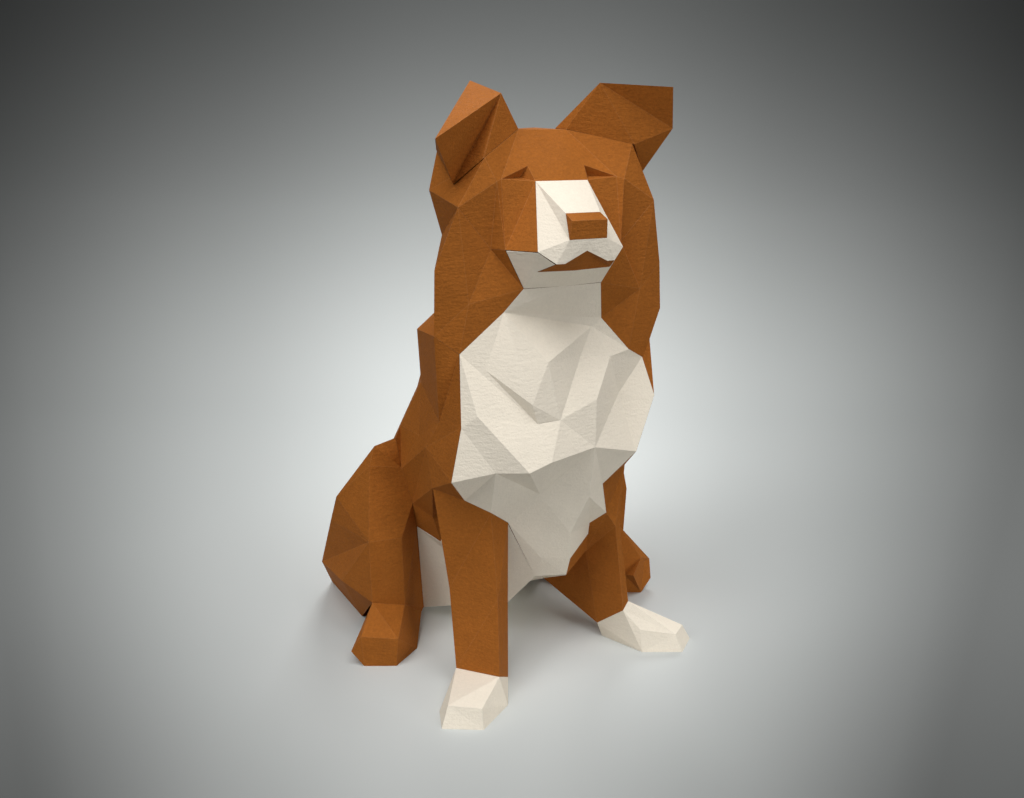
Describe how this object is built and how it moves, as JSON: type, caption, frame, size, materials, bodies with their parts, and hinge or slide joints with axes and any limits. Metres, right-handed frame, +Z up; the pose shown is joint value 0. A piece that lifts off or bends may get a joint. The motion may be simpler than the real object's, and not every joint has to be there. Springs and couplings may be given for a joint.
{
  "type": "folded paper dog figure",
  "caption": "Sitting long-haired dog built as a hollow faceted shell of folded brown and cream card, with a cream muzzle, chest and front paws and ears with folded tips.",
  "frame": {"origin": "middle of the footprint's box, on the surface the dog sits on", "axes": "+Z up, -Y the way the dog faces, +X towards the dog's left"},
  "size_m": [0.3384, 0.3754, 0.5201],
  "materials": {
    "brown_card": "matt coloured card with a fine tooth",
    "cream_card": "matt coloured card with a fine tooth"
  },
  "bodies": {
    "root": {"head": "brown_card", "ear_right": "brown_card", "ear_left": "brown_card", "muzzle": "cream_card", "nose": "brown_card", "mouth": "brown_card", "jaw": "cream_card", "ruff": "brown_card", "chest": "cream_card", "belly": "cream_card", "body": "brown_card", "foreleg_right": "brown_card", "front_paw_right": "cream_card", "foreleg_left": "brown_card", "front_paw_left": "cream_card", "haunch_left": "brown_card", "haunch_right": "brown_card", "hind_paw_right": "brown_card", "hind_paw_left": "brown_card", "tail": "brown_card"}
  },
  "joints": []
}
